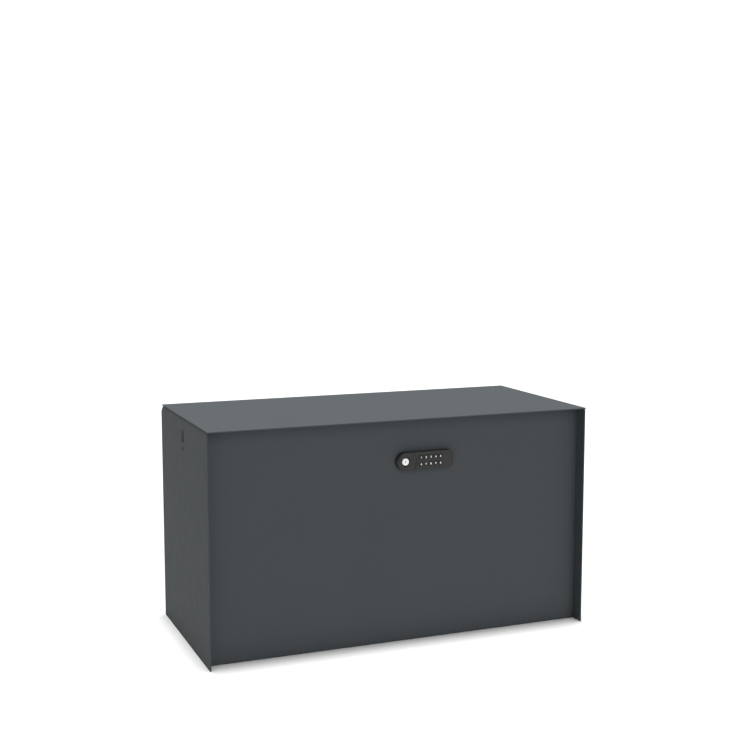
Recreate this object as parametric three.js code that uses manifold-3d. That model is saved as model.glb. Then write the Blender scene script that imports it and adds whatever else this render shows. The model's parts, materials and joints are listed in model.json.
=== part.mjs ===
// Parcel drop box: a sheet-steel chest with a rear-hinged lid, two gas springs and a keypad cam lock.
// Millimetres. +X is to the right, the front faces -Y and +Z is up. The origin is on the ground under
// the middle of the box.
import * as THREE from 'three';
import { mergeVertices } from 'three/addons/utils/BufferGeometryUtils.js';
import Module from 'manifold-3d';

const wasm = await Module();
wasm.setup();

// ---------------------------------------------------------------- driving dimensions
const BODY_WIDTH = 800;
const BODY_DEPTH = 375;          // side panel, front edge to back edge
const BODY_HEIGHT = 450;         // side panel
const BOX_HEIGHT = 455;          // to the top of the lid
const SHEET = 2.5;               // folded steel sheet
const GAP = 0.3;                 // between pieces that touch
const RUNNING_GAP = 0.08;        // around a pin or rod that slides or turns
const LID_WIDTH = 798.5;
const LID_OVERHANG = 3;          // lid past the side panels at the front
const LID_REAR_SETBACK = 3.5;    // lid short of the side panels at the back
const RECESS = 30;               // front panel behind the side panels' front edges
const FLANGE = 25;               // folded edge of a panel
const CORNER_CUT = 10;           // side panel's top rear corner, which the lid's edge swings past

const HINGE_X = 270;             // middle of each hinge, left and right
const HINGE_SPAN = 80;
const HINGE_PIN_RADIUS = 2.3;
const KNUCKLE_RADIUS = 4.2;
const KNUCKLE_HALF = 13.5;       // half of the middle knuckle's length
const LEAF = 2;

const KNOB_X = 4.7;              // lock's turning axis
const KNOB_Z = 366.5;
const KNOB_REACH = 24;           // from that axis to the knob's right end
const HUB_RADIUS = 6;            // behind the knob
const CYLINDER_RADIUS = 7.1;     // key cylinder in the knob's middle
const SPINDLE_RADIUS = 4;
const LOCK_RADIUS = 18;          // half of the lock's height
const LOCK_RIGHT = 103.5;        // right end of the lock from the knob's axis
const LOCK_RIGHT_RADIUS = 9.5;
const LOCK_PROUD = 11;           // lock's face in front of the front panel
const LOCK_SCREW_X = [27.8, 90.5];  // from the knob's axis
const CABLE_HOLE = { x: 60, radius: 5 };
const KEY_COLUMNS = 5;
const KEY_ROWS = 2;
const KEY_FIRST_X = 33.7;        // first column from the knob's axis
const KEY_PITCH_X = 10.5;
const KEY_PITCH_Z = 13.5;
const KEY_WIDTH = 8.2;
const KEY_HEIGHT = 8.8;
const KEY_CORNER = 1.5;

const STRUT_X = 383;             // gas spring's middle plane
const STRUT_FOOT = [148, 300];   // its lower pivot, Y and Z
const STRUT_HEAD = [140, 434];   // its upper pivot with the lid shut, Y and Z

// ---------------------------------------------------------------- places worked out from them
const HALF_DEPTH = (BODY_DEPTH + LID_OVERHANG) / 2;
const SIDE_FRONT = LID_OVERHANG - HALF_DEPTH;
const BACK = HALF_DEPTH;
const SIDE_INNER = BODY_WIDTH / 2 - SHEET;
const PANEL_HALF = SIDE_INNER - GAP;
const FRONT_FACE = SIDE_FRONT + RECESS;
const FRONT_INNER = FRONT_FACE + SHEET;
const BACK_INNER = BACK - SHEET;
const LID_BOTTOM = BOX_HEIGHT - SHEET;
const LID_REAR = BACK - LID_REAR_SETBACK;
const HINGE_Y = BACK - 9;
const HINGE_Z = BODY_HEIGHT - 2;
const FRONT_TOP = BODY_HEIGHT - 2;
const BACK_TOP = BODY_HEIGHT - 7.5;
const FRAME_HALF = 372;          // outside of the lid's inner frame
const FRAME_FRONT = -127;
const FRAME_REAR = 150;
const FRAME_DROP = 20;
const LOCK_FRONT = FRONT_FACE - LOCK_PROUD;
const LOCK_BACK = FRONT_FACE - GAP;
const REAR_CASE_FRONT = FRONT_INNER + GAP;
const REAR_CASE_BACK = REAR_CASE_FRONT + 19;
const COVER_BACK = REAR_CASE_BACK + GAP + 2;
const CAM_FRONT = COVER_BACK + 0.9;
const CAM_BACK = CAM_FRONT + 3;
const STRIKE_RADIUS = 37.5;      // strike pin's distance above the knob's axis
const STRIKE_PIN_RADIUS = 3.5;

// ---------------------------------------------------------------- materials
const paint = (color, roughness) => new THREE.MeshStandardMaterial({ color, roughness, metalness: 0.2 });
const metal = (color, roughness) => new THREE.MeshStandardMaterial({ color, roughness, metalness: 0.9 });
const plastic = (color, roughness) => new THREE.MeshStandardMaterial({ color, roughness, metalness: 0 });
const anthracite = paint(0x484f53, 0.55);
const zinc = metal(0xb4b8ba, 0.35);
const darkSteel = metal(0x2a2c2e, 0.4);
const polishedSteel = metal(0xd6d8da, 0.15);
const nickel = metal(0xdedcd8, 0.25);
const blackPlastic = plastic(0x1e1f20, 0.5);
const rubber = plastic(0x151515, 0.9);
const boardGreen = plastic(0x1d4a2a, 0.6);
const batteryJacket = plastic(0x50565c, 0.4);

// ---------------------------------------------------------------- solids
function toSolid(geometry) {
  const bare = geometry.clone();
  bare.deleteAttribute('normal');
  bare.deleteAttribute('uv');
  const merged = mergeVertices(bare, 1e-4);
  const vertProperties = new Float32Array(merged.attributes.position.array);
  const triVerts = new Uint32Array(merged.index.array);
  return new wasm.Manifold(new wasm.Mesh({ numProp: 3, vertProperties, triVerts }));
}

function toGeometry(solid) {
  const mesh = solid.getMesh();
  const geometry = new THREE.BufferGeometry();
  geometry.setAttribute('position', new THREE.BufferAttribute(mesh.vertProperties, 3));
  geometry.setIndex(new THREE.BufferAttribute(mesh.triVerts, 1));
  geometry.computeVertexNormals();
  return geometry;
}

function block(x, y, z) {
  const geometry = new THREE.BoxGeometry(x[1] - x[0], y[1] - y[0], z[1] - z[0]);
  geometry.translate((x[0] + x[1]) / 2, (y[0] + y[1]) / 2, (z[0] + z[1]) / 2);
  return toSolid(geometry);
}

// A round bar along X, Y or Z. The two centre values are the other two coordinates, in X, Y, Z order.
function bar(axis, radius, span, centre, sides = 28) {
  const geometry = new THREE.CylinderGeometry(radius, radius, span[1] - span[0], sides);
  const middle = (span[0] + span[1]) / 2;
  if (axis === 'x') {
    geometry.rotateZ(-Math.PI / 2);
    geometry.translate(middle, centre[0], centre[1]);
  } else if (axis === 'y') {
    geometry.translate(centre[0], middle, centre[1]);
  } else {
    geometry.rotateX(Math.PI / 2);
    geometry.translate(centre[0], centre[1], middle);
  }
  return toSolid(geometry);
}

// An outline drawn in Y and Z, extruded along X.
function extrudeAlongX(shape, x, curveSegments = 3) {
  const depth = x[1] - x[0];
  const geometry = new THREE.ExtrudeGeometry(shape, { depth, bevelEnabled: false, curveSegments });
  geometry.applyMatrix4(new THREE.Matrix4().set(0, 0, 1, x[0], 1, 0, 0, 0, 0, 1, 0, 0, 0, 0, 0, 1));
  return toSolid(geometry);
}

// An outline drawn in X and Z, extruded along Y.
function extrudeAlongY(shape, y, curveSegments = 3) {
  const depth = y[1] - y[0];
  const geometry = new THREE.ExtrudeGeometry(shape, { depth, bevelEnabled: false, curveSegments });
  geometry.applyMatrix4(new THREE.Matrix4().set(1, 0, 0, 0, 0, 0, -1, y[1], 0, 1, 0, 0, 0, 0, 0, 1));
  return toSolid(geometry);
}

function outline(points) {
  return new THREE.Shape(points.map(([u, v]) => new THREE.Vector2(u, v)));
}

function roundedRectangle(u, v, radius) {
  const shape = new THREE.Shape();
  shape.absarc(u[0] + radius, v[0] + radius, radius, Math.PI, 1.5 * Math.PI);
  shape.absarc(u[1] - radius, v[0] + radius, radius, 1.5 * Math.PI, 2 * Math.PI);
  shape.absarc(u[1] - radius, v[1] - radius, radius, 0, 0.5 * Math.PI);
  shape.absarc(u[0] + radius, v[1] - radius, radius, 0.5 * Math.PI, Math.PI);
  return shape;
}

function union(solids) {
  return solids.reduce((sum, solid) => sum.add(solid));
}

function cut(solid, tools) {
  return tools.reduce((rest, tool) => rest.subtract(tool), solid);
}

const group = new THREE.Group();

function place(name, solid, material, parent = group) {
  const mesh = new THREE.Mesh(toGeometry(solid), material);
  mesh.name = name;
  parent.add(mesh);
}

// The span from a to b measured outwards from the middle, on the left or the right side.
function outward(side, a, b) {
  return side === 'left' ? [-b, -a] : [a, b];
}

// ---------------------------------------------------------------- cabinet
const BADGE_Y = [-9, 13];
const BADGE_Z = [404, 430];
const BADGE_BAR_Z = [389, 396.5];
const BADGE_DEPTH = 1;

function sidePanel(side) {
  const profile = outline([
    [SIDE_FRONT, 0],
    [BACK, 0],
    [BACK, BODY_HEIGHT - CORNER_CUT],
    [BACK - CORNER_CUT, BODY_HEIGHT],
    [SIDE_FRONT, BODY_HEIGHT],
  ]);
  const plate = extrudeAlongX(profile, outward(side, SIDE_INNER, BODY_WIDTH / 2));
  const footX = outward(side, SIDE_INNER - FLANGE, SIDE_INNER + 1);
  const panel = plate.add(block(footX, [FRONT_INNER + GAP, BACK_INNER - GAP], [0, SHEET]));
  if (side === 'right') {
    return panel;
  }
  const pocket = [-BODY_WIDTH / 2 - 1, BADGE_DEPTH - BODY_WIDTH / 2];
  return cut(panel, [
    extrudeAlongX(roundedRectangle(BADGE_Y, BADGE_Z, 3), pocket),
    extrudeAlongX(roundedRectangle(BADGE_Y, BADGE_BAR_Z, 2), pocket),
  ]);
}

// Blank plates let into the left panel.
function sideBadge(z, radius) {
  const face = roundedRectangle([BADGE_Y[0] + GAP, BADGE_Y[1] - GAP], [z[0] + GAP, z[1] - GAP], radius - GAP);
  return extrudeAlongX(face, [-BODY_WIDTH / 2, BADGE_DEPTH - GAP - BODY_WIDTH / 2]);
}

const FLANGE_FOOT = 6;           // bottom of the upright flanges, clear of the side panels' feet

// A front or back panel: a sheet with flanges folded inwards at both ends and along the bottom.
function foldedPanel(sheetY, flangeY, top, flangeTop) {
  const parts = [block([-PANEL_HALF, PANEL_HALF], sheetY, [0, top])];
  for (const side of ['left', 'right']) {
    parts.push(block(outward(side, PANEL_HALF - SHEET, PANEL_HALF), flangeY, [FLANGE_FOOT, flangeTop]));
  }
  const footHalf = SIDE_INNER - FLANGE - SHEET;
  parts.push(block([-footHalf, footHalf], flangeY, [0, SHEET]));
  return union(parts);
}

const LIP_DEPTH = 12.5;
const LIP_HALF = 385;

function frontPanel() {
  const flangeY = [FRONT_INNER - 1, FRONT_INNER + FLANGE];
  const panel = foldedPanel([FRONT_FACE, FRONT_INNER], flangeY, FRONT_TOP, FRONT_TOP - 8);
  const lipY = [FRONT_INNER - 1, FRONT_INNER + LIP_DEPTH];
  const lip = block([-LIP_HALF, LIP_HALF], lipY, [FRONT_TOP - SHEET, FRONT_TOP]);
  const through = [FRONT_FACE - 1, FRONT_INNER + 1];
  const holes = [
    bar('y', HUB_RADIUS + 1, through, [KNOB_X, KNOB_Z]),
    bar('y', CABLE_HOLE.radius, through, [KNOB_X + CABLE_HOLE.x, KNOB_Z]),
    ...LOCK_SCREW_X.map((x) => bar('y', 2.4, through, [KNOB_X + x, KNOB_Z], 20)),
  ];
  return cut(panel.add(lip), holes);
}

const WALL_HOLE_X = 300;
const WALL_HOLE_Z = [90, 370];
const WALL_HOLE_RADIUS = 4.5;

function backPanel() {
  const flangeY = [BACK_INNER - FLANGE, BACK_INNER + 1];
  const panel = foldedPanel([BACK_INNER, BACK], flangeY, BACK_TOP, BACK_TOP - 6.5);
  const holes = [];
  for (const x of [-WALL_HOLE_X, WALL_HOLE_X]) {
    for (const z of WALL_HOLE_Z) {
      holes.push(bar('y', WALL_HOLE_RADIUS, [BACK_INNER - 1, BACK + 1], [x, z], 24));
    }
  }
  return cut(panel, holes);
}

const FLOOR_BOTTOM = SHEET + GAP;
const FLOOR_TOP = FLOOR_BOTTOM + SHEET;
const FLOOR_RIM = 15;
const FLOOR_HALF = PANEL_HALF - SHEET - GAP;
const FLOOR_Y = [FRONT_INNER + GAP, BACK_INNER - GAP];
const ANCHOR_HOLE = { x: 300, y: 100, radius: 5.5 };
const DRAIN_HOLE = { x: 340, y: 125, radius: 3 };

function floorPanel() {
  const tray = block([-FLOOR_HALF, FLOOR_HALF], FLOOR_Y, [FLOOR_BOTTOM, FLOOR_TOP + FLOOR_RIM]);
  const inside = block(
    [SHEET - FLOOR_HALF, FLOOR_HALF - SHEET],
    [FLOOR_Y[0] + SHEET, FLOOR_Y[1] - SHEET],
    [FLOOR_TOP, FLOOR_TOP + FLOOR_RIM + 1],
  );
  const holes = [];
  for (const hole of [ANCHOR_HOLE, DRAIN_HOLE]) {
    for (const x of [-hole.x, hole.x]) {
      for (const y of [-hole.y, hole.y]) {
        holes.push(bar('z', hole.radius, [FLOOR_BOTTOM - 1, FLOOR_TOP + 1], [x, y], 20));
      }
    }
  }
  return cut(tray, [inside, ...holes]);
}

const MAT_THICKNESS = 3;

function floorMat() {
  const inset = SHEET + 4;
  const bottom = FLOOR_TOP + GAP;
  return block(
    [inset - FLOOR_HALF, FLOOR_HALF - inset],
    [FLOOR_Y[0] + inset, FLOOR_Y[1] - inset],
    [bottom, bottom + MAT_THICKNESS],
  );
}

const BUFFER_X = [-360, -130, 130, 360];
const BUFFER_RADIUS = 4.5;

function lidBuffer(x) {
  const y = FRONT_INNER + LIP_DEPTH / 2;
  return bar('z', BUFFER_RADIUS, [FRONT_TOP + GAP, LID_BOTTOM - GAP], [x, y], 24);
}

const SEAL_HALF = 1;
const SEAL_X = (SIDE_INNER + BODY_WIDTH / 2) / 2;
const SEAL_Y = [SIDE_FRONT + 1, BACK - CORNER_CUT - 4];

// A rubber strip on top of a side panel, which closes the slot under the lid's edge.
function edgeSeal(side) {
  const x = outward(side, SEAL_X - SEAL_HALF, SEAL_X + SEAL_HALF);
  return block(x, SEAL_Y, [BODY_HEIGHT + GAP, LID_BOTTOM - GAP]);
}

// ---------------------------------------------------------------- lid
function lidPanel() {
  return block([-LID_WIDTH / 2, LID_WIDTH / 2], [-HALF_DEPTH, LID_REAR], [LID_BOTTOM, BOX_HEIGHT]);
}

const STRIP_END = SIDE_INNER - 1;
const STRIP_NOTCH = HINGE_SPAN / 2 + 4;  // left free on each side of a hinge's middle

// One of the strips under the lid's rear edge, which close the slot above the back panel between the hinges.
function lidRearStrip(x) {
  return block(x, [LID_REAR - SHEET, LID_REAR], [BACK_TOP + 0.5, LID_BOTTOM - GAP]);
}

// A ring of angle section under the lid, which drops inside the cabinet's mouth.
function lidFrame() {
  const top = LID_BOTTOM - GAP;
  const wall = 2;
  const shelf = 18;
  const ring = block([-FRAME_HALF, FRAME_HALF], [FRAME_FRONT, FRAME_REAR], [top - FRAME_DROP, top]);
  const hollow = block(
    [wall - FRAME_HALF, FRAME_HALF - wall],
    [FRAME_FRONT + wall, FRAME_REAR - wall],
    [top - FRAME_DROP - 1, top - wall],
  );
  const mouth = block(
    [shelf - FRAME_HALF, FRAME_HALF - shelf],
    [FRAME_FRONT + shelf, FRAME_REAR - shelf],
    [top - wall - 1, top + 1],
  );
  return cut(ring, [hollow, mouth]);
}

// A hat section across the lid.
function lidStiffener() {
  const top = LID_BOTTOM - GAP;
  const low = top - 14;
  const wall = 1.5;
  const middle = (FRAME_FRONT + FRAME_REAR) / 2;
  const half = [
    [20, low],
    [25, top - wall],
    [38, top - wall],
    [38, top],
    [25 - wall, top],
    [20 - wall, low + wall],
  ];
  const mirrored = half.map(([y, z]) => [-y, z]).reverse();
  const profile = outline([...half, ...mirrored].map(([y, z]) => [middle + y, z]));
  const reach = FRAME_HALF - 22;
  return extrudeAlongX(profile, [-reach, reach]);
}

// The plate that hangs from the lid's frame, with the pin that the lock's cam hooks over.
function strikePlate() {
  const front = FRAME_FRONT + 2 + GAP;
  const pinZ = KNOB_Z + STRIKE_RADIUS;
  const bottom = pinZ - 9;
  const top = LID_BOTTOM - GAP - 2 - GAP;
  const face = roundedRectangle([KNOB_X - 20, KNOB_X + 20], [bottom, top], 4);
  const plate = extrudeAlongY(face, [front, front + SHEET]);
  return plate.add(bar('y', STRIKE_PIN_RADIUS, [CAM_FRONT - 2, front + 1], [KNOB_X, pinZ], 24));
}

// ---------------------------------------------------------------- hinges
function hingeBodyLeaf(x) {
  const ends = [[x - HINGE_SPAN / 2, x - KNUCKLE_HALF - 0.5], [x + KNUCKLE_HALF + 0.5, x + HINGE_SPAN / 2]];
  const outer = HINGE_Y + KNUCKLE_RADIUS;
  const plateY = BACK_INNER - GAP;
  const plateTop = HINGE_Z - 9;
  const neck = outline([
    [outer - LEAF, HINGE_Z],
    [outer - LEAF, plateTop + 2],
    [plateY - LEAF, plateTop - 1],
    [plateY, plateTop - 1],
    [outer, plateTop + 2.5],
    [outer, HINGE_Z],
  ]);
  const parts = [block([ends[0][0], ends[1][1]], [plateY - LEAF, plateY], [plateTop - 38, plateTop - 0.5])];
  for (const span of ends) {
    parts.push(bar('x', KNUCKLE_RADIUS, span, [HINGE_Y, HINGE_Z]), extrudeAlongX(neck, span));
  }
  return cut(union(parts), [hingeBore(x)]);
}

function hingeLidLeaf(x) {
  const top = LID_BOTTOM - GAP;
  const knuckle = bar('x', KNUCKLE_RADIUS, [x - KNUCKLE_HALF, x + KNUCKLE_HALF], [HINGE_Y, HINGE_Z]);
  const z = [top - LEAF, top];
  const tongue = block([x - KNUCKLE_HALF, x + KNUCKLE_HALF], [HINGE_Y - 8, HINGE_Y], z);
  const plate = block([x - HINGE_SPAN / 2, x + HINGE_SPAN / 2], [FRAME_REAR + 1, HINGE_Y - 6], z);
  return cut(union([knuckle, tongue, plate]), [hingeBore(x)]);
}

function hingeBore(x) {
  return bar('x', HINGE_PIN_RADIUS + RUNNING_GAP, [x - HINGE_SPAN, x + HINGE_SPAN], [HINGE_Y, HINGE_Z]);
}

function hingePin(x) {
  const end = HINGE_SPAN / 2;
  const centre = [HINGE_Y, HINGE_Z];
  return union([
    bar('x', HINGE_PIN_RADIUS, [x - end - 1, x + end + 1], centre),
    bar('x', 3.4, [x - end - 2, x - end - GAP], centre),
    bar('x', 3.4, [x + end + GAP, x + end + 2], centre),
  ]);
}

// ---------------------------------------------------------------- gas springs
const STRUT_TUBE_RADIUS = 7.5;
const STRUT_ROD_RADIUS = 3;
const STRUT_STUD_RADIUS = 3;
const STRUT_TUBE = [14, 122];    // ends of the tube, measured from the lower pivot
const STRUT_EYE_HALF = 4;
const STRUT_EYE_RADIUS = 6.5;
const STRUT_PISTON = [20, 25];
const STRUT_COLLAR_RADIUS = 4.5; // beside the eye on the lower stud
const strutLength = Math.hypot(STRUT_HEAD[0] - STRUT_FOOT[0], STRUT_HEAD[1] - STRUT_FOOT[1]);
const strutLean = Math.atan2(STRUT_FOOT[0] - STRUT_HEAD[0], STRUT_HEAD[1] - STRUT_FOOT[1]);

// The frame that a gas spring's own pieces are drawn in: lower pivot at its origin, rod along +Z.
function strutGroup(side) {
  const frame = new THREE.Group();
  frame.position.set(side === 'left' ? -STRUT_X : STRUT_X, STRUT_FOOT[0], STRUT_FOOT[1]);
  frame.rotation.x = strutLean;
  group.add(frame);
  return frame;
}

function strutTube() {
  const [bottom, top] = STRUT_TUBE;
  const wall = 1.2;
  const profile = [
    [0, bottom],
    [STRUT_TUBE_RADIUS - 1, bottom],
    [STRUT_TUBE_RADIUS, bottom + 1],
    [STRUT_TUBE_RADIUS, top - 1],
    [STRUT_TUBE_RADIUS - 1, top],
    [STRUT_ROD_RADIUS + RUNNING_GAP, top],
    [STRUT_ROD_RADIUS + RUNNING_GAP, top - 8],
    [STRUT_TUBE_RADIUS - wall, top - 8],
    [STRUT_TUBE_RADIUS - wall, bottom + 3],
    [0, bottom + 3],
  ];
  const tube = turned(profile);
  const neck = bar('z', 4, [2, bottom + 1], [0, 0], 24);
  const eye = bar('x', STRUT_EYE_RADIUS, [-STRUT_EYE_HALF, STRUT_EYE_HALF], [0, 0]);
  const bore = bar('x', STRUT_STUD_RADIUS + RUNNING_GAP, [-STRUT_EYE_HALF - 1, STRUT_EYE_HALF + 1], [0, 0]);
  return cut(union([tube, neck, eye]), [bore]);
}

// A solid of revolution about Z. The profile's points are radius and height.
function turned(profile, sides = 28) {
  const geometry = new THREE.LatheGeometry(profile.map(([r, z]) => new THREE.Vector2(r, z)), sides);
  geometry.rotateX(Math.PI / 2);
  return toSolid(geometry);
}

// The rod with its piston, its eye and the stud that points inwards to the lid's bracket.
function strutRod(side) {
  const inward = side === 'left' ? 1 : -1;
  const studEnd = STRUT_X - FRAME_HALF - GAP - SHEET - GAP;
  const stud = [Math.min(0, inward * studEnd), Math.max(0, inward * studEnd)];
  return union([
    bar('z', STRUT_ROD_RADIUS, [STRUT_PISTON[0], strutLength], [0, 0]),
    bar('z', STRUT_TUBE_RADIUS - 1.4, STRUT_PISTON, [0, 0]),
    bar('x', STRUT_EYE_RADIUS, [-STRUT_EYE_HALF, STRUT_EYE_HALF], [0, strutLength]),
    bar('x', STRUT_STUD_RADIUS, stud, [0, strutLength]),
  ]);
}

// The plate on the side panel, with the stud that the tube's eye turns on.
function strutFootBracket(side) {
  const [y, z] = STRUT_FOOT;
  const face = roundedRectangle([y - 12, y + 12], [z - 20, z + 20], 4);
  const inner = STRUT_X - STRUT_EYE_HALF;
  const outer = STRUT_X + STRUT_EYE_HALF;
  return union([
    extrudeAlongX(face, outward(side, PANEL_HALF - SHEET, PANEL_HALF)),
    bar('x', STRUT_STUD_RADIUS, outward(side, inner - 3, PANEL_HALF - 1), [y, z]),
    bar('x', STRUT_COLLAR_RADIUS, outward(side, inner - 2, inner - GAP), [y, z]),
    bar('x', STRUT_COLLAR_RADIUS, outward(side, outer + GAP, PANEL_HALF - 1), [y, z]),
  ]);
}

// The plate on the lid's frame, which the rod's stud stands against.
function strutHeadBracket(side) {
  const [y, z] = STRUT_HEAD;
  const face = roundedRectangle([y - 20, y + 14], [z - 13, LID_BOTTOM - 1], 6);
  return extrudeAlongX(face, outward(side, FRAME_HALF + GAP, FRAME_HALF + GAP + SHEET));
}

// ---------------------------------------------------------------- lock, front
// The lock's pieces are drawn around the knob's axis: X and Z are measured from it, Y is the box's own.
const AXIS = [0, 0];
const SCREW_RADIUS = 2;
const SCREW_BORE_RADIUS = SCREW_RADIUS + GAP;
const POST_RADIUS = 3;
const LOCK_WALL = 2;
const KNOB_SEAT = LOCK_BACK - 2.5;       // face of the thin end that the knob turns on
const ROOM_RADIUS = KNOB_REACH + 0.4;    // concave end of the keypad beside the knob
const POCKET_X = [27, LOCK_RIGHT - 3];
const POCKET_HALF = LOCK_RADIUS - LOCK_WALL;

// Round on the left around the knob's axis, straight above and below, and closed by an arc on the right.
function lockOutline() {
  const right = LOCK_RIGHT - LOCK_RIGHT_RADIUS;
  const drop = LOCK_RADIUS - LOCK_RIGHT_RADIUS;
  const shape = new THREE.Shape();
  shape.absarc(0, 0, LOCK_RADIUS, Math.PI / 2, 1.5 * Math.PI);
  shape.absarc(right, -drop, LOCK_RIGHT_RADIUS, -Math.PI / 2, 0);
  shape.absarc(right, drop, LOCK_RIGHT_RADIUS, 0, Math.PI / 2);
  return shape;
}

function keyCentre(column, row) {
  return [KEY_FIRST_X + column * KEY_PITCH_X, (0.5 - row) * KEY_PITCH_Z];
}

function keyFace([x, z], margin) {
  const w = KEY_WIDTH / 2 + margin;
  const h = KEY_HEIGHT / 2 + margin;
  return roundedRectangle([x - w, x + w], [z - h, z + h], KEY_CORNER + margin);
}

function forEachKey(action) {
  for (let row = 0; row < KEY_ROWS; row += 1) {
    for (let column = 0; column < KEY_COLUMNS; column += 1) {
      action(keyCentre(column, row), row * KEY_COLUMNS + column + 1);
    }
  }
}

function lockHousing() {
  const body = extrudeAlongY(lockOutline(), [LOCK_FRONT, LOCK_BACK], 10);
  const pocketShape = roundedRectangle(POCKET_X, [-POCKET_HALF, POCKET_HALF], 7);
  const tools = [
    bar('y', ROOM_RADIUS, [LOCK_FRONT - 1, KNOB_SEAT], AXIS, 64),
    bar('y', HUB_RADIUS + 0.4, [KNOB_SEAT - 1, LOCK_BACK + 1], AXIS),
    extrudeAlongY(pocketShape, [LOCK_FRONT + LOCK_WALL, LOCK_BACK + 1]),
  ];
  const keyThrough = [LOCK_FRONT - 1, LOCK_FRONT + LOCK_WALL + 1];
  forEachKey((centre) => tools.push(extrudeAlongY(keyFace(centre, GAP), keyThrough)));
  const shell = cut(body, tools);
  const postSpan = [LOCK_FRONT + LOCK_WALL - 0.5, LOCK_BACK];
  const boreSpan = [LOCK_FRONT + LOCK_WALL + 1, LOCK_BACK + 1];
  const posts = LOCK_SCREW_X.map((x) => bar('y', POST_RADIUS, postSpan, [x, 0], 24));
  const bores = LOCK_SCREW_X.map((x) => bar('y', SCREW_BORE_RADIUS, boreSpan, [x, 0], 20));
  return cut(union([shell, ...posts]), bores);
}

const KEY_FRONT = LOCK_FRONT - 0.9;
const KEY_BACK = LOCK_FRONT + LOCK_WALL + 1.2;

function key(centre) {
  return extrudeAlongY(keyFace(centre, 0), [KEY_FRONT, KEY_BACK]);
}

const MAT_FRONT = KEY_BACK + 1.2;        // past the key's travel of 0.8
const MAT_BACK = MAT_FRONT + 1.2;
const BOARD_FRONT = MAT_BACK + GAP;
const BOARD_BACK = BOARD_FRONT + 1.6;
const SHEET_X = [32, 86];                // the mat and the board lie between the two screw posts
const SHEET_HALF_HEIGHT = 13.5;

function insideSheet(y) {
  return extrudeAlongY(roundedRectangle(SHEET_X, [-SHEET_HALF_HEIGHT, SHEET_HALF_HEIGHT], 3), y);
}

const KNOB_FRONT = LOCK_FRONT - 0.4;
const KNOB_BACK = KNOB_SEAT - GAP;
const KNOB_FACE_INSET = 1.5;
const HUB_BACK = FRONT_INNER;
const GROOVE = { radius: 9.6, depth: 3 };
const CYLINDER_DEPTH = 5;
const SPINDLE_FRONT = KNOB_FRONT + CYLINDER_DEPTH + 1.5;

// The lock's round end with straight flanks, closed on the right by the arc that turns in the keypad's end.
function knobOutline(inset) {
  const flank = LOCK_RADIUS - inset;
  const reach = KNOB_REACH - inset;
  const bend = Math.asin(flank / reach);
  const shape = new THREE.Shape();
  shape.absarc(0, 0, flank, Math.PI / 2, 1.5 * Math.PI);
  shape.absarc(0, 0, reach, -bend, bend);
  return shape;
}

// The grip with a hub behind it, which passes through the housing and the front panel.
function knob() {
  const grip = extrudeAlongY(knobOutline(0), [KNOB_FRONT + KNOB_FACE_INSET, KNOB_BACK], 12);
  const face = extrudeAlongY(knobOutline(KNOB_FACE_INSET), [KNOB_FRONT, KNOB_FRONT + 2], 12);
  const hub = bar('y', HUB_RADIUS, [KNOB_BACK - 1, HUB_BACK], AXIS);
  return cut(union([grip, face, hub]), [
    bar('y', GROOVE.radius, [KNOB_FRONT - 1, KNOB_FRONT + GROOVE.depth], AXIS, 48),
    bar('y', CYLINDER_RADIUS + RUNNING_GAP, [KNOB_FRONT - 1, KNOB_FRONT + CYLINDER_DEPTH], AXIS, 48),
    bar('y', SPINDLE_RADIUS + GAP, [SPINDLE_FRONT - GAP, HUB_BACK + 1], AXIS),
  ]);
}

// The key cylinder in the knob's middle, with its keyway upright.
function keyCylinder() {
  const plug = bar('y', CYLINDER_RADIUS, [KNOB_FRONT - 0.5, KNOB_FRONT + CYLINDER_DEPTH - GAP], AXIS, 48);
  const keyway = block([-0.7, 0.7], [KNOB_FRONT - 1.5, KNOB_FRONT + 3.5], [-2.6, 2.6]);
  return cut(plug, [keyway]);
}

// ---------------------------------------------------------------- lock, inside
const REAR_HALF = 17;
const REAR_RIGHT = 98.5;
const REAR_WALL = 1.6;
const REAR_FLOOR = REAR_CASE_FRONT + 2;
const BATTERY_RADIUS = 5.2;
const BATTERY_X = [33, 77.5];
const BATTERY_Z = [-8, 8];
const COVER_SCREW = [15, 0];
const COVER_SCREW_RADIUS = 1.5;

function rearOutline(inset) {
  const x = [inset - REAR_HALF, REAR_RIGHT - inset];
  return roundedRectangle(x, [inset - REAR_HALF, REAR_HALF - inset], 5 - inset);
}

function batteryCase() {
  const body = extrudeAlongY(rearOutline(0), [REAR_CASE_FRONT, REAR_CASE_BACK]);
  const hollow = extrudeAlongY(rearOutline(REAR_WALL), [REAR_FLOOR, REAR_CASE_BACK + 1]);
  const bossSpan = [REAR_FLOOR - 0.5, REAR_CASE_BACK];
  const bosses = [bar('y', 7, bossSpan, AXIS), bar('y', 4, bossSpan, COVER_SCREW, 24)];
  const floorSpan = [REAR_CASE_FRONT - 1, REAR_FLOOR + 1];
  const holes = [
    bar('y', SPINDLE_RADIUS + 0.5, [REAR_CASE_FRONT - 1, REAR_CASE_BACK + 1], AXIS),
    bar('y', COVER_SCREW_RADIUS + GAP, [REAR_CASE_BACK - 8, REAR_CASE_BACK + 1], COVER_SCREW, 20),
    bar('y', CABLE_HOLE.radius, floorSpan, [CABLE_HOLE.x, 0], 24),
    ...LOCK_SCREW_X.map((x) => bar('y', SCREW_BORE_RADIUS, floorSpan, [x, 0], 20)),
  ];
  return cut(union([cut(body, [hollow]), ...bosses]), holes);
}

function batteryCover() {
  const y = [REAR_CASE_BACK + GAP, COVER_BACK];
  const through = [y[0] - 1, y[1] + 1];
  return cut(extrudeAlongY(rearOutline(0), y), [
    bar('y', SPINDLE_RADIUS + 0.5, through, AXIS),
    bar('y', COVER_SCREW_RADIUS + GAP, through, COVER_SCREW, 20),
  ]);
}

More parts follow.
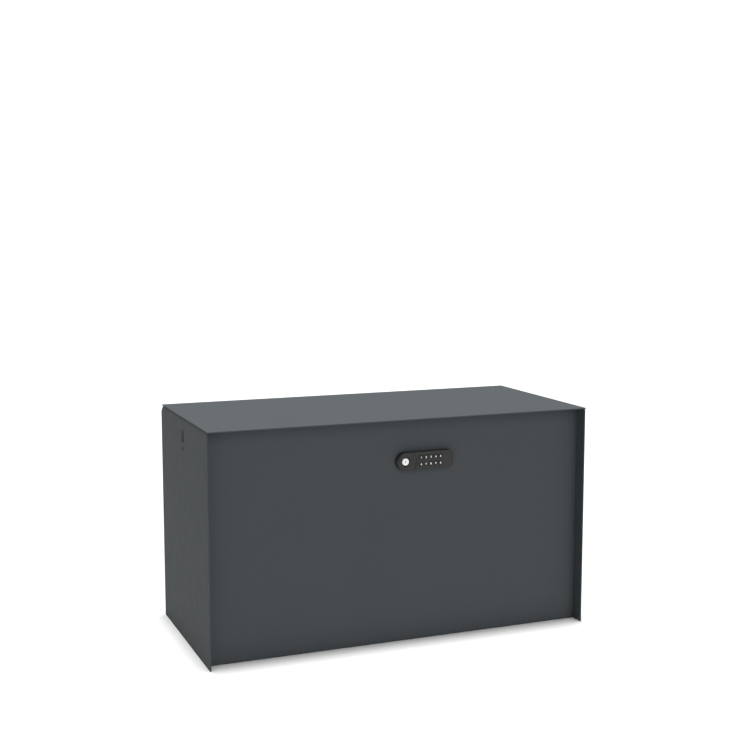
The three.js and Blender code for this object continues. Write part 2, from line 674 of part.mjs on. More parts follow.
function coverScrew() {
  const headFront = COVER_BACK + GAP;
  const head = bar('y', 2.8, [headFront, headFront + 1.4], COVER_SCREW, 20);
  const shank = bar('y', COVER_SCREW_RADIUS, [REAR_CASE_BACK - 7, headFront + 1], COVER_SCREW, 20);
  return head.add(shank);
}

function lockScrew(x) {
  const headFront = REAR_FLOOR + GAP;
  const head = bar('y', 3.8, [headFront, headFront + 2.4], [x, 0], 20);
  const shank = bar('y', SCREW_RADIUS, [LOCK_BACK - 6, headFront + 1], [x, 0], 20);
  return head.add(shank);
}

function battery(z) {
  const centre = [(REAR_FLOOR + REAR_CASE_BACK) / 2, z];
  const can = bar('x', BATTERY_RADIUS, BATTERY_X, centre);
  const tip = bar('x', 1.9, [BATTERY_X[1] - 0.5, BATTERY_X[1] + 1], centre, 16);
  return can.add(tip);
}

const NUT = [CAM_BACK + GAP, CAM_BACK + GAP + 3];
const NUT_RADIUS = 6.4;

function spindle() {
  return bar('y', SPINDLE_RADIUS, [SPINDLE_FRONT, NUT[1] + 0.5], AXIS);
}

// A flat hook: an arm out from the spindle, and an arc round the axis that passes over the strike pin.
// The angles are seen from the front with the lock open, from +X towards +Z.
const CAM_ARM_ANGLE = 205;
const CAM_TIP_ANGLE = 158;
const CAM_ARM_HALF = 7;
const CAM_HOOK_WIDTH = 5.5;
const CAM_HOOK_INNER = STRIKE_RADIUS + STRIKE_PIN_RADIUS + 1.5;

function cam() {
  const inner = CAM_HOOK_INNER;
  const outer = inner + CAM_HOOK_WIDTH;
  const y = [CAM_FRONT, CAM_BACK];
  const armLength = Math.sqrt(inner * inner - CAM_ARM_HALF * CAM_ARM_HALF) + 2;
  const arm = extrudeAlongY(
    outline([[0, -CAM_ARM_HALF], [armLength, -CAM_ARM_HALF], [armLength, CAM_ARM_HALF], [0, CAM_ARM_HALF]]),
    y,
  );
  const tip = THREE.MathUtils.degToRad(CAM_TIP_ANGLE);
  const heel = THREE.MathUtils.degToRad(CAM_ARM_ANGLE) + Math.asin(CAM_ARM_HALF / outer);
  const hook = new THREE.Shape();
  hook.absarc(0, 0, outer, tip, heel, false);
  hook.absarc(0, 0, inner, heel, tip, true);
  const hub = bar('y', 9, y, AXIS);
  const bore = bar('y', SPINDLE_RADIUS + GAP, [CAM_FRONT - 1, CAM_BACK + 1], AXIS);
  return cut(union([hub, arm.rotate([0, -CAM_ARM_ANGLE, 0]), extrudeAlongY(hook, y, 6)]), [bore]);
}

function camNut() {
  const bore = bar('y', SPINDLE_RADIUS + GAP, [NUT[0] - 1, NUT[1] + 1], AXIS);
  return cut(bar('y', NUT_RADIUS, NUT, AXIS, 6), [bore]);
}

// ---------------------------------------------------------------- assembly
for (const side of ['left', 'right']) {
  const hingeX = side === 'left' ? -HINGE_X : HINGE_X;
  place(`${side}_side_panel`, sidePanel(side), anthracite);
  place(`${side}_edge_seal`, edgeSeal(side), rubber);
  place(`${side}_hinge_body_leaf`, hingeBodyLeaf(hingeX), zinc);
  place(`${side}_hinge_lid_leaf`, hingeLidLeaf(hingeX), zinc);
  place(`${side}_hinge_pin`, hingePin(hingeX), polishedSteel);
  place(`${side}_gas_spring_foot_bracket`, strutFootBracket(side), zinc);
  place(`${side}_gas_spring_head_bracket`, strutHeadBracket(side), zinc);
  const strut = strutGroup(side);
  place(`${side}_gas_spring_tube`, strutTube(), darkSteel, strut);
  place(`${side}_gas_spring_rod`, strutRod(side), polishedSteel, strut);
}
place('front_panel', frontPanel(), anthracite);
place('back_panel', backPanel(), anthracite);
place('floor_panel', floorPanel(), anthracite);
place('floor_mat', floorMat(), rubber);
place('side_badge', sideBadge(BADGE_Z, 3), darkSteel);
place('side_badge_strip', sideBadge(BADGE_BAR_Z, 2), darkSteel);
BUFFER_X.forEach((x, index) => place(`lid_buffer_${index + 1}`, lidBuffer(x), rubber));

place('lid_panel', lidPanel(), anthracite);
place('lid_frame', lidFrame(), anthracite);
place('lid_stiffener', lidStiffener(), anthracite);
place('left_lid_rear_strip', lidRearStrip([-STRIP_END, -HINGE_X - STRIP_NOTCH]), anthracite);
place('middle_lid_rear_strip', lidRearStrip([STRIP_NOTCH - HINGE_X, HINGE_X - STRIP_NOTCH]), anthracite);
place('right_lid_rear_strip', lidRearStrip([HINGE_X + STRIP_NOTCH, STRIP_END]), anthracite);
place('strike_plate', strikePlate(), zinc);

const lock = new THREE.Group();
lock.position.set(KNOB_X, 0, KNOB_Z);
group.add(lock);
place('lock_housing', lockHousing(), blackPlastic, lock);
forEachKey((centre, number) => place(`key_${number}`, key(centre), blackPlastic, lock));
place('keypad_mat', insideSheet([MAT_FRONT, MAT_BACK]), rubber, lock);
place('circuit_board', insideSheet([BOARD_FRONT, BOARD_BACK]), boardGreen, lock);
place('knob', knob(), blackPlastic, lock);
place('key_cylinder', keyCylinder(), nickel, lock);
place('battery_case', batteryCase(), blackPlastic, lock);
place('battery_cover', batteryCover(), blackPlastic, lock);
place('battery_cover_screw', coverScrew(), zinc, lock);
LOCK_SCREW_X.forEach((x, index) => place(`lock_screw_${index + 1}`, lockScrew(x), zinc, lock));
BATTERY_Z.forEach((z, index) => place(`battery_${index + 1}`, battery(z), batteryJacket, lock));
place('spindle', spindle(), zinc, lock);
place('cam', cam(), zinc, lock);
place('cam_nut', camNut(), zinc, lock);

export default group;
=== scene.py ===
"""Parcel drop box: the looks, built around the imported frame. Metres, front towards -Y, +Z up."""

import json
import math

import bmesh
import bpy
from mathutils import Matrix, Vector


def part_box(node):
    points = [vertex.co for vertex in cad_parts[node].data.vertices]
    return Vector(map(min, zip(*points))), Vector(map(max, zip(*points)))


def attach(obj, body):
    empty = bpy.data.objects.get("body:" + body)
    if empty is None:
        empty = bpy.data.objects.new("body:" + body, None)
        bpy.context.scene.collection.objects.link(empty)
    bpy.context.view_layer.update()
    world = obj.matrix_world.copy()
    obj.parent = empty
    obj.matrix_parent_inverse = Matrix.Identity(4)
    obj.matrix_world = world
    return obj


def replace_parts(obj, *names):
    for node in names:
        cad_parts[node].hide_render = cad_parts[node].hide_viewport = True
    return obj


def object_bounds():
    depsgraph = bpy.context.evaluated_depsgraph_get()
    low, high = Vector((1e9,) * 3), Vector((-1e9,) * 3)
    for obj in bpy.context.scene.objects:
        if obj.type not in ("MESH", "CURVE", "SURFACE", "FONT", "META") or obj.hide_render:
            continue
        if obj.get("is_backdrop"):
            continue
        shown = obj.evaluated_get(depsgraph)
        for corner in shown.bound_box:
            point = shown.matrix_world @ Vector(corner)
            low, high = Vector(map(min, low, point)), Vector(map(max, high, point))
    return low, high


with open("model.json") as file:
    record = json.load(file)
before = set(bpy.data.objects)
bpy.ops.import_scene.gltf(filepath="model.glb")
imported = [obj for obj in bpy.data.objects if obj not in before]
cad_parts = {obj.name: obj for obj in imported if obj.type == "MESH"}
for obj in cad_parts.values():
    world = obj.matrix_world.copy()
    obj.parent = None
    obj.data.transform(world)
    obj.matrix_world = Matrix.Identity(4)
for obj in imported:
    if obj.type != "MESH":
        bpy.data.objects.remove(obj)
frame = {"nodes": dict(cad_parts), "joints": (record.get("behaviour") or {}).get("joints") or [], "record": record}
cad_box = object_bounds()
nodes = frame["nodes"]
joints = {joint["name"]: joint for joint in frame["joints"]}

MM = 0.001
SIDES = ("left", "right")

KNOB_AXIS = Vector(joints["knob_turn"]["pos_m"])
LEAF = 2.0 * MM                  # hinge leaf
DIGIT_HEIGHT = 3.4 * MM


# ---------------------------------------------------------------- material building
class Shader:
    """A small builder for one node material, with places taken in metres from object coordinates."""

    def __init__(self, name, color, roughness, metallic=0.0):
        self.material = bpy.data.materials.new(name)
        self.material.use_nodes = True
        self.tree = self.material.node_tree
        self.surface = self.tree.nodes["Principled BSDF"]
        self.surface.inputs["Base Color"].default_value = (*color, 1.0)
        self.surface.inputs["Roughness"].default_value = roughness
        self.surface.inputs["Metallic"].default_value = metallic
        self.place = self.add("ShaderNodeTexCoord").outputs["Object"]
        self.normal = None

    def add(self, kind, **values):
        node = self.tree.nodes.new(kind)
        for key, value in values.items():
            setattr(node, key, value)
        return node

    def link(self, source, target):
        self.tree.links.new(source, target)

    def stretched(self, scale):
        mapping = self.add("ShaderNodeMapping")
        mapping.inputs["Scale"].default_value = scale
        self.link(self.place, mapping.inputs["Vector"])
        return mapping.outputs["Vector"]

    def noise(self, scale, detail=3.0, place=None, roughness=0.5):
        node = self.add("ShaderNodeTexNoise")
        node.inputs["Scale"].default_value = scale
        node.inputs["Detail"].default_value = detail
        node.inputs["Roughness"].default_value = roughness
        self.link(place or self.place, node.inputs["Vector"])
        return node.outputs["Fac"]

    def cells(self, scale, place=None):
        node = self.add("ShaderNodeTexVoronoi")
        node.inputs["Scale"].default_value = scale
        self.link(place or self.place, node.inputs["Vector"])
        return node.outputs["Distance"]

    def spread(self, value, low, high, from_low=0.3, from_high=0.7):
        node = self.add("ShaderNodeMapRange")
        node.inputs["From Min"].default_value = from_low
        node.inputs["From Max"].default_value = from_high
        node.inputs["To Min"].default_value = low
        node.inputs["To Max"].default_value = high
        self.link(value, node.inputs["Value"])
        return node.outputs["Result"]

    def tint(self, value, low, high, from_low=0.3, from_high=0.7):
        """Colour between two tints, driven by a value."""
        ramp = self.add("ShaderNodeValToRGB")
        ramp.color_ramp.elements[0].position = from_low
        ramp.color_ramp.elements[0].color = (*low, 1.0)
        ramp.color_ramp.elements[1].position = from_high
        ramp.color_ramp.elements[1].color = (*high, 1.0)
        self.link(value, ramp.inputs["Fac"])
        self.link(ramp.outputs["Color"], self.surface.inputs["Base Color"])

    def roughen(self, value, low, high, from_low=0.3, from_high=0.7):
        self.link(self.spread(value, low, high, from_low, from_high), self.surface.inputs["Roughness"])

    def bump(self, value, depth, strength=1.0):
        """Adds relief of a depth in metres on top of what is there."""
        node = self.add("ShaderNodeBump")
        node.inputs["Distance"].default_value = depth
        node.inputs["Strength"].default_value = strength
        self.link(value, node.inputs["Height"])
        if self.normal is not None:
            self.link(self.normal, node.inputs["Normal"])
        self.normal = node.outputs["Normal"]
        self.link(self.normal, self.surface.inputs["Normal"])

    def set(self, socket, value):
        self.surface.inputs[socket].default_value = value


def shade(color, factor):
    return tuple(min(1.0, channel * factor) for channel in color)


def powder_coat():
    """Satin anthracite powder coat: a soft orange peel, a fine grain and faint unevenness."""
    color = (0.0535, 0.0605, 0.065)
    shader = Shader("anthracite_powder_coat", color, 0.7)
    shader.tint(shader.noise(5.0, 4.0), shade(color, 0.98), shade(color, 1.02))
    shader.roughen(shader.noise(38.0, 4.0), 0.66, 0.72)
    shader.bump(shader.noise(340.0, 2.0), 0.00003, 0.3)
    shader.bump(shader.noise(1500.0, 2.0), 0.00002, 0.3)
    shader.set("Specular IOR Level", 0.12)
    return shader.material


def badge_paint():
    color = (0.022, 0.025, 0.027)
    shader = Shader("badge_paint", color, 0.6)
    shader.set("Specular IOR Level", 0.06)
    shader.tint(shader.noise(60.0), shade(color, 0.92), shade(color, 1.08))
    shader.roughen(shader.noise(300.0), 0.52, 0.66)
    shader.bump(shader.noise(1400.0), 0.00002, 0.5)
    return shader.material


def zinc_plate():
    """Bright zinc plate over rolled steel, with a cloudy spangle and fine scratches."""
    color = (0.56, 0.57, 0.58)
    shader = Shader("zinc_plate", color, 0.33, 1.0)
    shader.tint(shader.cells(160.0), shade(color, 0.86), shade(color, 1.1), 0.1, 0.9)
    shader.roughen(shader.noise(90.0, 5.0), 0.24, 0.44)
    shader.bump(shader.noise(1.0, 4.0, shader.stretched((120.0, 1800.0, 1800.0))), 0.00002, 0.5)
    return shader.material


def ground_steel():
    color = (0.68, 0.69, 0.70)
    shader = Shader("ground_steel", color, 0.12, 1.0)
    shader.tint(shader.noise(30.0), shade(color, 0.95), shade(color, 1.04))
    shader.roughen(shader.noise(1.0, 3.0, shader.stretched((900.0, 900.0, 3000.0))), 0.08, 0.2)
    return shader.material


def black_enamel():
    color = (0.012, 0.012, 0.013)
    shader = Shader("black_enamel", color, 0.28)
    shader.tint(shader.noise(20.0), shade(color, 0.8), shade(color, 1.3))
    shader.roughen(shader.noise(120.0, 4.0), 0.2, 0.36)
    shader.bump(shader.noise(500.0), 0.00003, 0.4)
    shader.set("Coat Weight", 0.3)
    shader.set("Coat Roughness", 0.12)
    return shader.material


def moulded_plastic(name, color, low, high, grain):
    """Spark-eroded moulded plastic: a fine even grain, slightly polished by use."""
    shader = Shader(name, color, (low + high) / 2)
    shader.tint(shader.noise(70.0), shade(color, 0.88), shade(color, 1.12))
    shader.roughen(shader.noise(45.0, 4.0), low, high)
    shader.bump(shader.cells(grain), 0.00004, 0.6)
    shader.bump(shader.noise(grain * 0.6), 0.00003, 0.4)
    shader.set("Specular IOR Level", 0.3)
    return shader.material


def nickel_plate():
    """Satin nickel with turning marks around the lock's axis."""
    color = (0.78, 0.77, 0.75)
    shader = Shader("nickel_plate", color, 0.3, 0.25)
    shift = shader.add("ShaderNodeMapping")
    shift.inputs["Location"].default_value = (-KNOB_AXIS.x, 0.0, -KNOB_AXIS.z)
    shader.link(shader.place, shift.inputs["Vector"])
    rings = shader.add("ShaderNodeTexWave", wave_type="RINGS", rings_direction="Y")
    rings.inputs["Scale"].default_value = 700.0
    rings.inputs["Distortion"].default_value = 1.5
    shader.link(shift.outputs["Vector"], rings.inputs["Vector"])
    shader.tint(shader.noise(200.0), shade(color, 0.95), shade(color, 1.05))
    shader.roughen(rings.outputs["Fac"], 0.26, 0.42, 0.0, 1.0)
    shader.bump(rings.outputs["Fac"], 0.00001, 0.4)
    return shader.material


def soft_rubber():
    color = (0.018, 0.018, 0.019)
    shader = Shader("soft_rubber", color, 0.85)
    shader.tint(shader.noise(25.0, 5.0), shade(color, 0.8), shade(color, 1.35))
    shader.roughen(shader.noise(80.0, 4.0), 0.75, 0.95)
    shader.bump(shader.noise(900.0, 3.0), 0.00008, 0.6)
    return shader.material


def solder_mask():
    color = (0.01, 0.09, 0.03)
    shader = Shader("solder_mask", color, 0.35)
    shader.tint(shader.cells(700.0), shade(color, 0.8), shade(color, 1.6), 0.2, 0.8)
    shader.roughen(shader.noise(200.0), 0.28, 0.45)
    shader.bump(shader.cells(500.0), 0.00003, 0.4)
    return shader.material


def battery_sleeve():
    color = (0.09, 0.10, 0.11)
    shader = Shader("battery_sleeve", color, 0.35)
    shader.tint(shader.noise(60.0), shade(color, 0.9), shade(color, 1.1))
    shader.roughen(shader.noise(150.0), 0.28, 0.42)
    shader.bump(shader.noise(600.0), 0.00002, 0.4)
    return shader.material


def digit_ink():
    color = (0.86, 0.86, 0.85)
    shader = Shader("digit_ink", color, 0.5)
    shader.tint(shader.noise(900.0), shade(color, 0.94), shade(color, 1.03))
    shader.roughen(shader.noise(500.0), 0.42, 0.6)
    return shader.material


MATERIALS = {
    "anthracite_paint": powder_coat(),
    "zinc_plated_steel": zinc_plate(),
    "ground_steel": ground_steel(),
    "black_enamel": black_enamel(),
    "badge_paint": badge_paint(),
    "rubber": soft_rubber(),
    "black_plastic": moulded_plastic("black_plastic", (0.019, 0.0195, 0.020), 0.38, 0.5, 2400.0),
    "nickel_plate": nickel_plate(),
    "board_green": solder_mask(),
    "battery_jacket": battery_sleeve(),
    "digit_ink": digit_ink(),
}
KEY_PLASTIC = moulded_plastic("key_plastic", (0.017, 0.017, 0.0175), 0.45, 0.56, 3000.0)


# ---------------------------------------------------------------- finishing the CAD nodes
EDGE_ROUNDING = {
    "anthracite_paint": 0.7 * MM,
    "zinc_plated_steel": 0.35 * MM,
    "ground_steel": 0.3 * MM,
    "black_enamel": 0.4 * MM,
    "badge_paint": 0.15 * MM,
    "rubber": 0.6 * MM,
    "black_plastic": 0.5 * MM,
    "nickel_plate": 0.3 * MM,
    "board_green": 0.1 * MM,
    "battery_jacket": 0.4 * MM,
}
FLAT_SHADED = ("anthracite_paint",)     # folded sheet has only flat faces
slot_of = {part["node"]: part["material_slot"] for part in frame["record"]["subparts"]}


def finish_surface(piece, width, smooth):
    """Welds the facets, clears flat seams and rounds the sharp edges, as paint and pressing do."""
    weld = piece.modifiers.new("weld", "WELD")
    weld.merge_threshold = 0.01 * MM
    flat = piece.modifiers.new("flat", "DECIMATE")
    flat.decimate_type = "DISSOLVE"
    flat.angle_limit = math.radians(0.5)
    edge = piece.modifiers.new("edge", "BEVEL")
    edge.limit_method = "ANGLE"
    edge.angle_limit = math.radians(28.0)
    edge.width = width
    edge.segments = 3
    edge.harden_normals = smooth
    for polygon in piece.data.polygons:
        polygon.use_smooth = smooth


for name, node in nodes.items():
    slot = slot_of[name]
    node.data.materials.clear()
    node.data.materials.append(MATERIALS[slot])
    finish_surface(node, EDGE_ROUNDING[slot], slot not in FLAT_SHADED)


# ---------------------------------------------------------------- mesh building
def finish_piece(name, bm, slot, body, material=None, sharp=32.0):
    """Makes an object of the mesh, rides it on a body and names its finish."""
    bmesh.ops.recalc_face_normals(bm, faces=bm.faces)
    mesh = bpy.data.meshes.new(name)
    bm.to_mesh(mesh)
    bm.free()
    for polygon in mesh.polygons:
        polygon.use_smooth = True
    mesh.set_sharp_from_angle(angle=math.radians(sharp))
    mesh.materials.append(material or MATERIALS[slot])
    piece = bpy.data.objects.new(name, mesh)
    bpy.context.scene.collection.objects.link(piece)
    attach(piece, body)
    return piece


def add_loft(bm, rings):
    """A closed skin through rings of equal point counts, with flat ends."""
    loops = [[bm.verts.new(point) for point in ring] for ring in rings]
    count = len(rings[0])
    for near, far in zip(loops, loops[1:]):
        for i in range(count):
            j = (i + 1) % count
            bm.faces.new((near[i], near[j], far[j], far[i]))
    bm.faces.new(list(reversed(loops[0])))
    bm.faces.new(loops[-1])


def circle(radius, count):
    angles = [math.tau * i / count for i in range(count)]
    return [(radius * math.cos(angle), radius * math.sin(angle)) for angle in angles]


def hexagon(radius, count):
    """A hexagon's outline at a circle's angles; the radius is to its flats."""
    points = []
    for i in range(count):
        angle = math.tau * i / count
        reach = radius / math.cos((angle + math.pi / 6) % (math.pi / 3) - math.pi / 6)
        points.append((reach * math.cos(angle), reach * math.sin(angle)))
    return points


def rounded_rectangle(half_width, half_height, radius, steps=5):
    points = []
    for quarter, (across, up) in enumerate(((1, 1), (-1, 1), (-1, -1), (1, -1))):
        for step in range(steps + 1):
            angle = math.pi / 2 * (quarter + step / steps)
            u = across * (half_width - radius) + radius * math.cos(angle)
            v = up * (half_height - radius) + radius * math.sin(angle)
            points.append((u, v))
    return points


def facing_front(centre_x, y, centre_z, points):
    """An outline seen from the front, set up at a depth."""
    return [Vector((centre_x + u, y, centre_z + v)) for u, v in points]


def around(centre, axis, height, points):
    """An outline square to an axis, at a height along it."""
    axis = Vector(axis)
    side = axis.orthogonal().normalized()
    other = axis.cross(side)
    return [Vector(centre) + axis * height + side * u + other * v for u, v in points]


def add_rivet(bm, centre, axis, radius=3.2 * MM, height=1.2 * MM, sides=20):
    """A domed rivet head that stands on a face."""
    rings = [around(centre, axis, rise, circle(radius, sides)) for rise in (0.0, height * 0.2)]
    for turn in (20, 40, 60, 78):
        angle = math.radians(turn)
        rise = height * (0.2 + 0.8 * math.sin(angle))
        rings.append(around(centre, axis, rise, circle(radius * math.cos(angle), sides)))
    add_loft(bm, rings)


def add_socket_screw(bm, centre, axis, radius=3.6 * MM, height=1.9 * MM, sides=36, shank=None):
    """A button-head screw with a hexagon socket, and its shank where that shows."""
    rings = []
    if shank:
        shank_radius, shank_length = shank
        rings.append(around(centre, axis, -shank_length, circle(shank_radius * 0.8, sides)))
        rings.append(around(centre, axis, 0.5 * MM - shank_length, circle(shank_radius, sides)))
        rings.append(around(centre, axis, 0.0, circle(shank_radius, sides)))
    for share, rise in ((1.0, 0.0), (1.0, 0.3), (0.97, 0.55), (0.88, 0.8), (0.76, 0.94), (0.62, 1.0)):
        rings.append(around(centre, axis, height * rise, circle(radius * share, sides)))
    rings.append(around(centre, axis, height, hexagon(radius * 0.42, sides)))
    rings.append(around(centre, axis, height * 0.4, hexagon(radius * 0.42, sides)))
    add_loft(bm, rings)


def add_weld_spot(bm, centre, axis, radius=3.0 * MM, height=0.18 * MM, sides=20):
    """The low painted-over button that a spot weld leaves on sheet."""
    rings = []
    for share, rise in ((1.25, 0.0), (1.0, 0.75), (0.8, 1.0), (0.6, 0.7)):
        rings.append(around(centre, axis, height * rise, circle(radius * share, sides)))
    add_loft(bm, rings)


# ---------------------------------------------------------------- the lock's front
LOCK_LOW, LOCK_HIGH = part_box("lock_housing")
KNOB_LOW, KNOB_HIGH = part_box("knob")
FLANK = KNOB_AXIS.x - KNOB_LOW.x        # the grip's half height, and its round end's radius
REACH = KNOB_HIGH.x - KNOB_AXIS.x       # from the axis to the grip's right end
GRIP_FRONT = KNOB_LOW.y
GRIP_BACK = LOCK_HIGH.y - 2.8 * MM
HUB_RADIUS = 6.0 * MM
GROOVE_RADIUS = 9.6 * MM
GROOVE_DEPTH = 3.0 * MM
BORE_RADIUS = 7.18 * MM


def grip_outline(inset_at):
    """The grip seen from the front, each point drawn in by inset_at(its share of the way left)."""
    points = []

    def drawn_in(place):
        across = place(0.0)[0]
        points.append(place(inset_at(max(0.0, -across / FLANK))))

    def left(angle):
        return lambda inset: ((FLANK - inset) * math.cos(angle), (FLANK - inset) * math.sin(angle))

    def corner(inset):
        return math.sqrt((REACH - inset) ** 2 - (FLANK - inset) ** 2)

    def flat(side, share):
        return lambda inset: (share * corner(inset), side * (FLANK - inset))

    def right(share):
        def place(inset):
            angle = share * math.asin((FLANK - inset) / (REACH - inset))
            return ((REACH - inset) * math.cos(angle), (REACH - inset) * math.sin(angle))

        return place

    for step in range(49):
        drawn_in(left(math.pi / 2 + math.pi * step / 48))
    for step in range(1, 7):
        drawn_in(flat(-1, step / 7))
    for step in range(33):
        drawn_in(right(step / 16 - 1))
    for step in range(6, 0, -1):
        drawn_in(flat(1, step / 7))
    return points


def build_knob():
    """A grip with a broad round on its free end, a groove round the key cylinder and a hub behind."""
    bm = bmesh.new()
    plain = grip_outline(lambda left: 0.0)
    angles = [math.atan2(v, u) for u, v in plain]

    def round_width(left):
        return (1.0 + 7.5 * left * left * (3 - 2 * left)) * MM

    def round_depth(left):
        return round_width(left) * (0.8 + 0.1 * left)

    def matched_circle(radius):
        return [(radius * math.cos(angle), radius * math.sin(angle)) for angle in angles]

    def level(y, points):
        return facing_front(KNOB_AXIS.x, y, KNOB_AXIS.z, points)

    rings = [
        level(KNOB_HIGH.y, matched_circle(HUB_RADIUS - 0.4 * MM)),
        level(KNOB_HIGH.y - 0.4 * MM, matched_circle(HUB_RADIUS)),
        level(GRIP_BACK, matched_circle(HUB_RADIUS)),
        level(GRIP_BACK, grip_outline(lambda left: 0.5 * MM)),
        level(GRIP_BACK - 0.5 * MM, plain),
    ]
    for turn in range(0, 91, 15):
        angle = math.radians(turn)
        points = grip_outline(lambda left: round_width(left) * (1 - math.cos(angle)))
        ring = []
        for (u, v), (plain_u, _) in zip(points, plain):
            depth = round_depth(max(0.0, -plain_u / FLANK)) * (1 - math.sin(angle))
            ring.append(Vector((KNOB_AXIS.x + u, GRIP_FRONT + depth, KNOB_AXIS.z + v)))
        rings.append(ring)
    rings += [
        level(GRIP_FRONT, matched_circle(GROOVE_RADIUS + 0.3 * MM)),
        level(GRIP_FRONT + 0.3 * MM, matched_circle(GROOVE_RADIUS)),
        level(GRIP_FRONT + GROOVE_DEPTH, matched_circle(GROOVE_RADIUS - 0.3 * MM)),
        level(GRIP_FRONT + GROOVE_DEPTH, matched_circle(BORE_RADIUS)),
        level(GRIP_FRONT + 4.9 * MM, matched_circle(BORE_RADIUS)),
    ]
    add_loft(bm, rings)
    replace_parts(finish_piece("knob_grip", bm, "black_plastic", "knob"), "knob")


def build_key_cylinder():
    """The turned plug with a chamfer, a shallow ring and its keyway."""
    low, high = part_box("key_cylinder")
    radius = (high.x - low.x) / 2
    count = 72
    bm = bmesh.new()

    def level(depth, points):
        return facing_front(KNOB_AXIS.x, low.y + depth, KNOB_AXIS.z, points)

    keyway = []
    for u, v in circle(1.0, count):
        reach = ((abs(u) / (0.7 * MM)) ** 4 + (abs(v) / (2.6 * MM)) ** 4) ** -0.25
        keyway.append((u * reach, v * reach))
    add_loft(bm, [
        level(high.y - low.y, circle(radius, count)),
        level(0.4 * MM, circle(radius, count)),
        level(0.1 * MM, circle(radius - 0.15 * MM, count)),
        level(0.0, circle(radius - 0.45 * MM, count)),
        level(0.0, circle(radius - 1.3 * MM, count)),
        level(0.12 * MM, circle(radius - 1.45 * MM, count)),
        level(0.12 * MM, circle(3.4 * MM, count)),
        level(0.12 * MM, [(u * 1.12, v * 1.06) for u, v in keyway]),
        level(0.25 * MM, keyway),
        level(3.8 * MM, keyway),
    ])
    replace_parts(finish_piece("lock_plug", bm, "nickel_plate", "key_cylinder"), "key_cylinder")


def build_key_cap(number):
    """A key with a rounded rim and a dished top."""
    node = f"key_{number}"
    low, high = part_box(node)
    middle = (low + high) / 2
    half_width = (high.x - low.x) / 2
    half_height = (high.z - low.z) / 2
    bm = bmesh.new()

    def level(depth, inset):
        radius = max(1.5 * MM - inset * 0.5, 0.5 * MM)
        points = rounded_rectangle(half_width - inset, half_height - inset, radius)
        return facing_front(middle.x, low.y + depth, middle.z, points)

    rim = 0.6 * MM
    rings = [level(high.y - low.y, 0.0)]
    for turn in range(0, 91, 18):
        angle = math.radians(turn)
        rings.append(level(rim * (1 - math.sin(angle)), rim * (1 - math.cos(angle))))
    for share in (0.25, 0.5, 0.75, 0.95):
        dish = 0.28 * MM * math.sin(share * math.pi / 2) ** 2
        rings.append(level(dish, rim + share * (half_width - rim - 0.8 * MM)))
    add_loft(bm, rings)
    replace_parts(finish_piece(f"key_cap_{number}", bm, "black_plastic", node, KEY_PLASTIC), node)
    return middle.x, low.y + 0.3 * MM, middle.z


def build_digit(number, place):
    """The key's digit, printed in a thin white layer: 1 to 9 and then 0."""
    curve = bpy.data.curves.new("digit", "FONT")
    curve.body = str(number % 10)
    curve.size = DIGIT_HEIGHT / 0.7
    curve.offset = 0.18 * MM
    curve.extrude = 0.14 * MM
    curve.resolution_u = 4
    writer = bpy.data.objects.new("digit", curve)
    flat = bpy.data.meshes.new_from_object(writer)
    bm = bmesh.new()
    bm.from_mesh(flat)
    bpy.data.objects.remove(writer)
    bpy.data.meshes.remove(flat)
    us = [vert.co.x for vert in bm.verts]
    vs = [vert.co.y for vert in bm.verts]
    middle_u = (min(us) + max(us)) / 2
    middle_v = (min(vs) + max(vs)) / 2
    for vert in bm.verts:
        u, v, rise = vert.co
        vert.co = Vector((place[0] + u - middle_u, place[1] - rise, place[2] + v - middle_v))
    bmesh.ops.remove_doubles(bm, verts=bm.verts, dist=0.002 * MM)
    finish_piece(f"key_digit_{number}", bm, "digit_ink", f"key_{number}")


def build_lock_gasket():
    """A thin foam gasket between the housing and the front panel."""
    front_panel_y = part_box("front_panel")[0].y
    centre = (LOCK_LOW + LOCK_HIGH) / 2
    bm = bmesh.new()
    inset = 0.8 * MM
    gap = 0.02 * MM
    half_width = (LOCK_HIGH.x - LOCK_LOW.x) / 2 - inset
    half_height = (LOCK_HIGH.z - LOCK_LOW.z) / 2 - inset
    points = rounded_rectangle(half_width, half_height, half_height * 0.98, steps=12)
    add_loft(bm, [
        facing_front(centre.x, LOCK_HIGH.y + gap, centre.z, points),
        facing_front(centre.x, front_panel_y - gap, centre.z, points),
    ])
    finish_piece("lock_gasket", bm, "rubber", "cabinet")


# ---------------------------------------------------------------- fasteners and welds
def fastener_piece(name, body, slot, adder, places, **sizes):
    """One object of several fasteners or welds, each given as its place and the way it faces."""
    bm = bmesh.new()
    for centre, axis in places:
        adder(bm, centre, axis, **sizes)
    finish_piece(name, bm, slot, body)


def build_hinge_screws(side):
    """Four screws in the leaf on the back panel and two in the leaf on the lid."""
    low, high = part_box(f"{side}_hinge_body_leaf")
    middle = (low.x + high.x) / 2
    face = high.y - LEAF
    half_pitch = 30 * MM
    rows = (9 * MM, 27 * MM)
    places = []
    for across in (-half_pitch, half_pitch):
        for up in rows:
            places.append(((middle + across, face, low.z + up), (0, -1, 0)))
    fastener_piece(f"{side}_hinge_body_screws", "cabinet", "zinc_plated_steel", add_socket_screw, places)
    low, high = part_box(f"{side}_hinge_lid_leaf")
    under = high.z - LEAF
    from_front = 10 * MM
    half_pitch = 28 * MM
    ends = (-half_pitch, half_pitch)
    places = [((middle + across, low.y + from_front, under), (0, 0, -1)) for across in ends]
    fastener_piece(f"{side}_hinge_lid_screws", "lid", "zinc_plated_steel", add_socket_screw, places)


